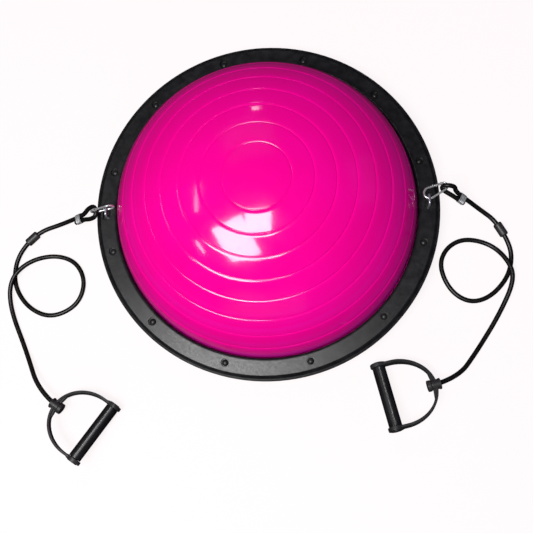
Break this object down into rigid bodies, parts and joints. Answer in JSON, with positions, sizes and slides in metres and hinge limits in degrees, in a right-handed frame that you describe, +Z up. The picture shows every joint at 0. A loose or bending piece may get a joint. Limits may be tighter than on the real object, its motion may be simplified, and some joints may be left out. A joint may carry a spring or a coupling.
{
  "type": "balance dome trainer",
  "caption": "Inflated half-dome balance trainer on a round clamped platform, with hooked-on resistance tubes that end in D-shaped grip handles.",
  "frame": {"origin": "centre of the platform's underside, on the floor", "axes": "+Z up through the top of the dome; the two tube anchors lie on the X axis, and the handles lie on the -Y side"},
  "size_m": [0.8935, 0.7349, 0.225],
  "materials": {
    "dome_pvc": "glossy inflated PVC",
    "bladder_pvc": "smooth PVC sheet",
    "platform_plastic": "fine grained",
    "ring_plastic": "fine grained",
    "screw_steel": "black oxide",
    "pad_rubber": "matt",
    "valve_vinyl": "soft vinyl",
    "zinc_steel": "zinc plated",
    "hook_steel": "bright plated",
    "tube_latex": "satin latex",
    "crimp_metal": "pressed",
    "sleeve_rubber": "satin",
    "handle_plastic": "satin moulded",
    "core_plastic": "plain",
    "grip_plastic": "smooth satin"
  },
  "bodies": {
    "base": {"base_plate": "platform_plastic", "anti_slip_pads": "pad_rubber", "bladder_floor": "bladder_pvc", "dome": "dome_pvc", "valve_seat": "valve_vinyl", "clamp_ring": "ring_plastic", "clamp_screws": "screw_steel", "anchor_staple_left": "zinc_steel", "anchor_plate_left": "zinc_steel", "anchor_nuts_left": "zinc_steel", "anchor_staple_right": "zinc_steel", "anchor_plate_right": "zinc_steel", "anchor_nuts_right": "zinc_steel"},
    "valve_plug": {"valve_plug": "valve_vinyl"},
    "hook_left": {"hook_body_left": "hook_steel", "hook_pin_left": "hook_steel"},
    "gate_left": {"hook_gate_left": "hook_steel", "hook_spring_left": "hook_steel"},
    "tube_left": {"resistance_tube_left": "tube_latex", "tube_crimp_left": "crimp_metal", "tube_sleeve_left": "sleeve_rubber", "tube_stopper_left": "handle_plastic"},
    "handle_left": {"handle_bow_left": "handle_plastic", "handle_core_left": "core_plastic", "handle_caps_left": "handle_plastic"},
    "grip_left": {"handle_grip_left": "grip_plastic"},
    "hook_right": {"hook_body_right": "hook_steel", "hook_pin_right": "hook_steel"},
    "gate_right": {"hook_gate_right": "hook_steel", "hook_spring_right": "hook_steel"},
    "tube_right": {"resistance_tube_right": "tube_latex", "tube_crimp_right": "crimp_metal", "tube_sleeve_right": "sleeve_rubber", "tube_stopper_right": "handle_plastic"},
    "handle_right": {"handle_bow_right": "handle_plastic", "handle_core_right": "core_plastic", "handle_caps_right": "handle_plastic"},
    "grip_right": {"handle_grip_right": "grip_plastic"}
  },
  "joints": [
    {"name": "valve_plug_pull", "type": "slide", "parent": "base", "child": "valve_plug", "axis": [0, 0, -1], "range_m": [0, 0.018]},
    {"name": "hook_left_slide", "type": "slide", "parent": "base", "child": "hook_left", "axis": [0, 1, 0], "range_m": [-0.005, 0.001]},
    {"name": "gate_left_hinge", "type": "hinge", "parent": "hook_left", "child": "gate_left", "pos_m": [-0.29887, -0.00006, 0.06073], "axis": [-0.174, 0.9847, 0.0004], "range_deg": [0, 18], "stiffness_Nm_per_rad": 0.02, "springref_deg": -5.73},
    {"name": "tube_left_swing", "type": "hinge", "parent": "hook_left", "child": "tube_left", "pos_m": [-0.30538, -0.00121, 0.05294], "axis": [0, 0, 1], "range_deg": [-12, 8]},
    {"name": "handle_left_swivel", "type": "hinge", "parent": "tube_left", "child": "handle_left", "pos_m": [-0.36784, -0.33326, 0.0255], "axis": [-0.8221, 0.5694, 0], "continuous": true},
    {"name": "grip_left_spin", "type": "hinge", "parent": "handle_left", "child": "grip_left", "pos_m": [-0.2992, -0.3808, 0.0255], "axis": [0.5569, 0.8041, -0.2079], "continuous": true},
    {"name": "hook_right_slide", "type": "slide", "parent": "base", "child": "hook_right", "axis": [0.9206, 0.3905, 0], "range_m": [0, 0.002]},
    {"name": "gate_right_hinge", "type": "hinge", "parent": "hook_right", "child": "gate_right", "pos_m": [0.30115, 0.02779, 0.05251], "axis": [-0.0801, -0.034, 0.9962], "range_deg": [0, 18], "stiffness_Nm_per_rad": 0.02, "springref_deg": -5.73},
    {"name": "tube_right_swing", "type": "hinge", "parent": "hook_right", "child": "tube_right", "pos_m": [0.303, 0.0215, 0.05275], "axis": [0, 0, 1], "range_deg": [-2, 20]},
    {"name": "handle_right_swivel", "type": "hinge", "parent": "tube_right", "child": "handle_right", "pos_m": [0.27786, -0.30931, 0.0255], "axis": [0.9744, 0.225, 0], "continuous": true},
    {"name": "grip_right_spin", "type": "hinge", "parent": "handle_right", "child": "grip_right", "pos_m": [0.1965, -0.3281, 0.0255], "axis": [0.2201, -0.9531, 0.2079], "continuous": true}
  ]
}
